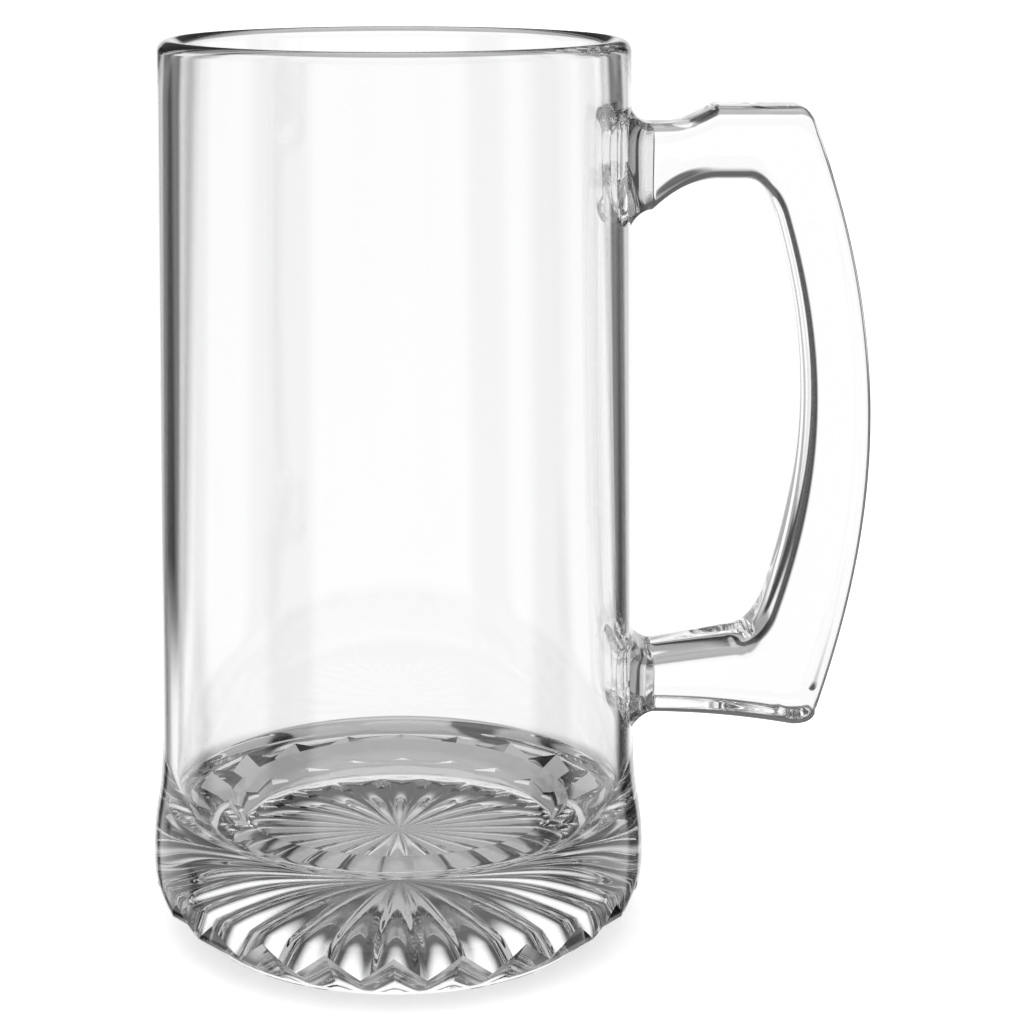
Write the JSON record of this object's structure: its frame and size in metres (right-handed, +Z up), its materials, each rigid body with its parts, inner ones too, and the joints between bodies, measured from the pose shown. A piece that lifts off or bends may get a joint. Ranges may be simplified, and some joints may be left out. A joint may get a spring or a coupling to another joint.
{
  "type": "glass beer mug",
  "caption": "Tall straight-sided clear glass beer mug with a heavy starburst base and a bowed side handle with a thumb rest, for holding and drinking cold beer.",
  "frame": {"origin": "on the table under the middle of the whole mug, handle included", "axes": "+Z up along the barrel, +X towards the handle, +Y across the handle"},
  "size_m": [0.1406, 0.0986, 0.175],
  "materials": {
    "body_glass": "clear pressed soda-lime glass, fire-polished",
    "handle_glass": "clear pressed soda-lime glass, fire-polished"
  },
  "bodies": {
    "root": {"mug_body": "body_glass", "handle": "handle_glass"}
  },
  "joints": []
}
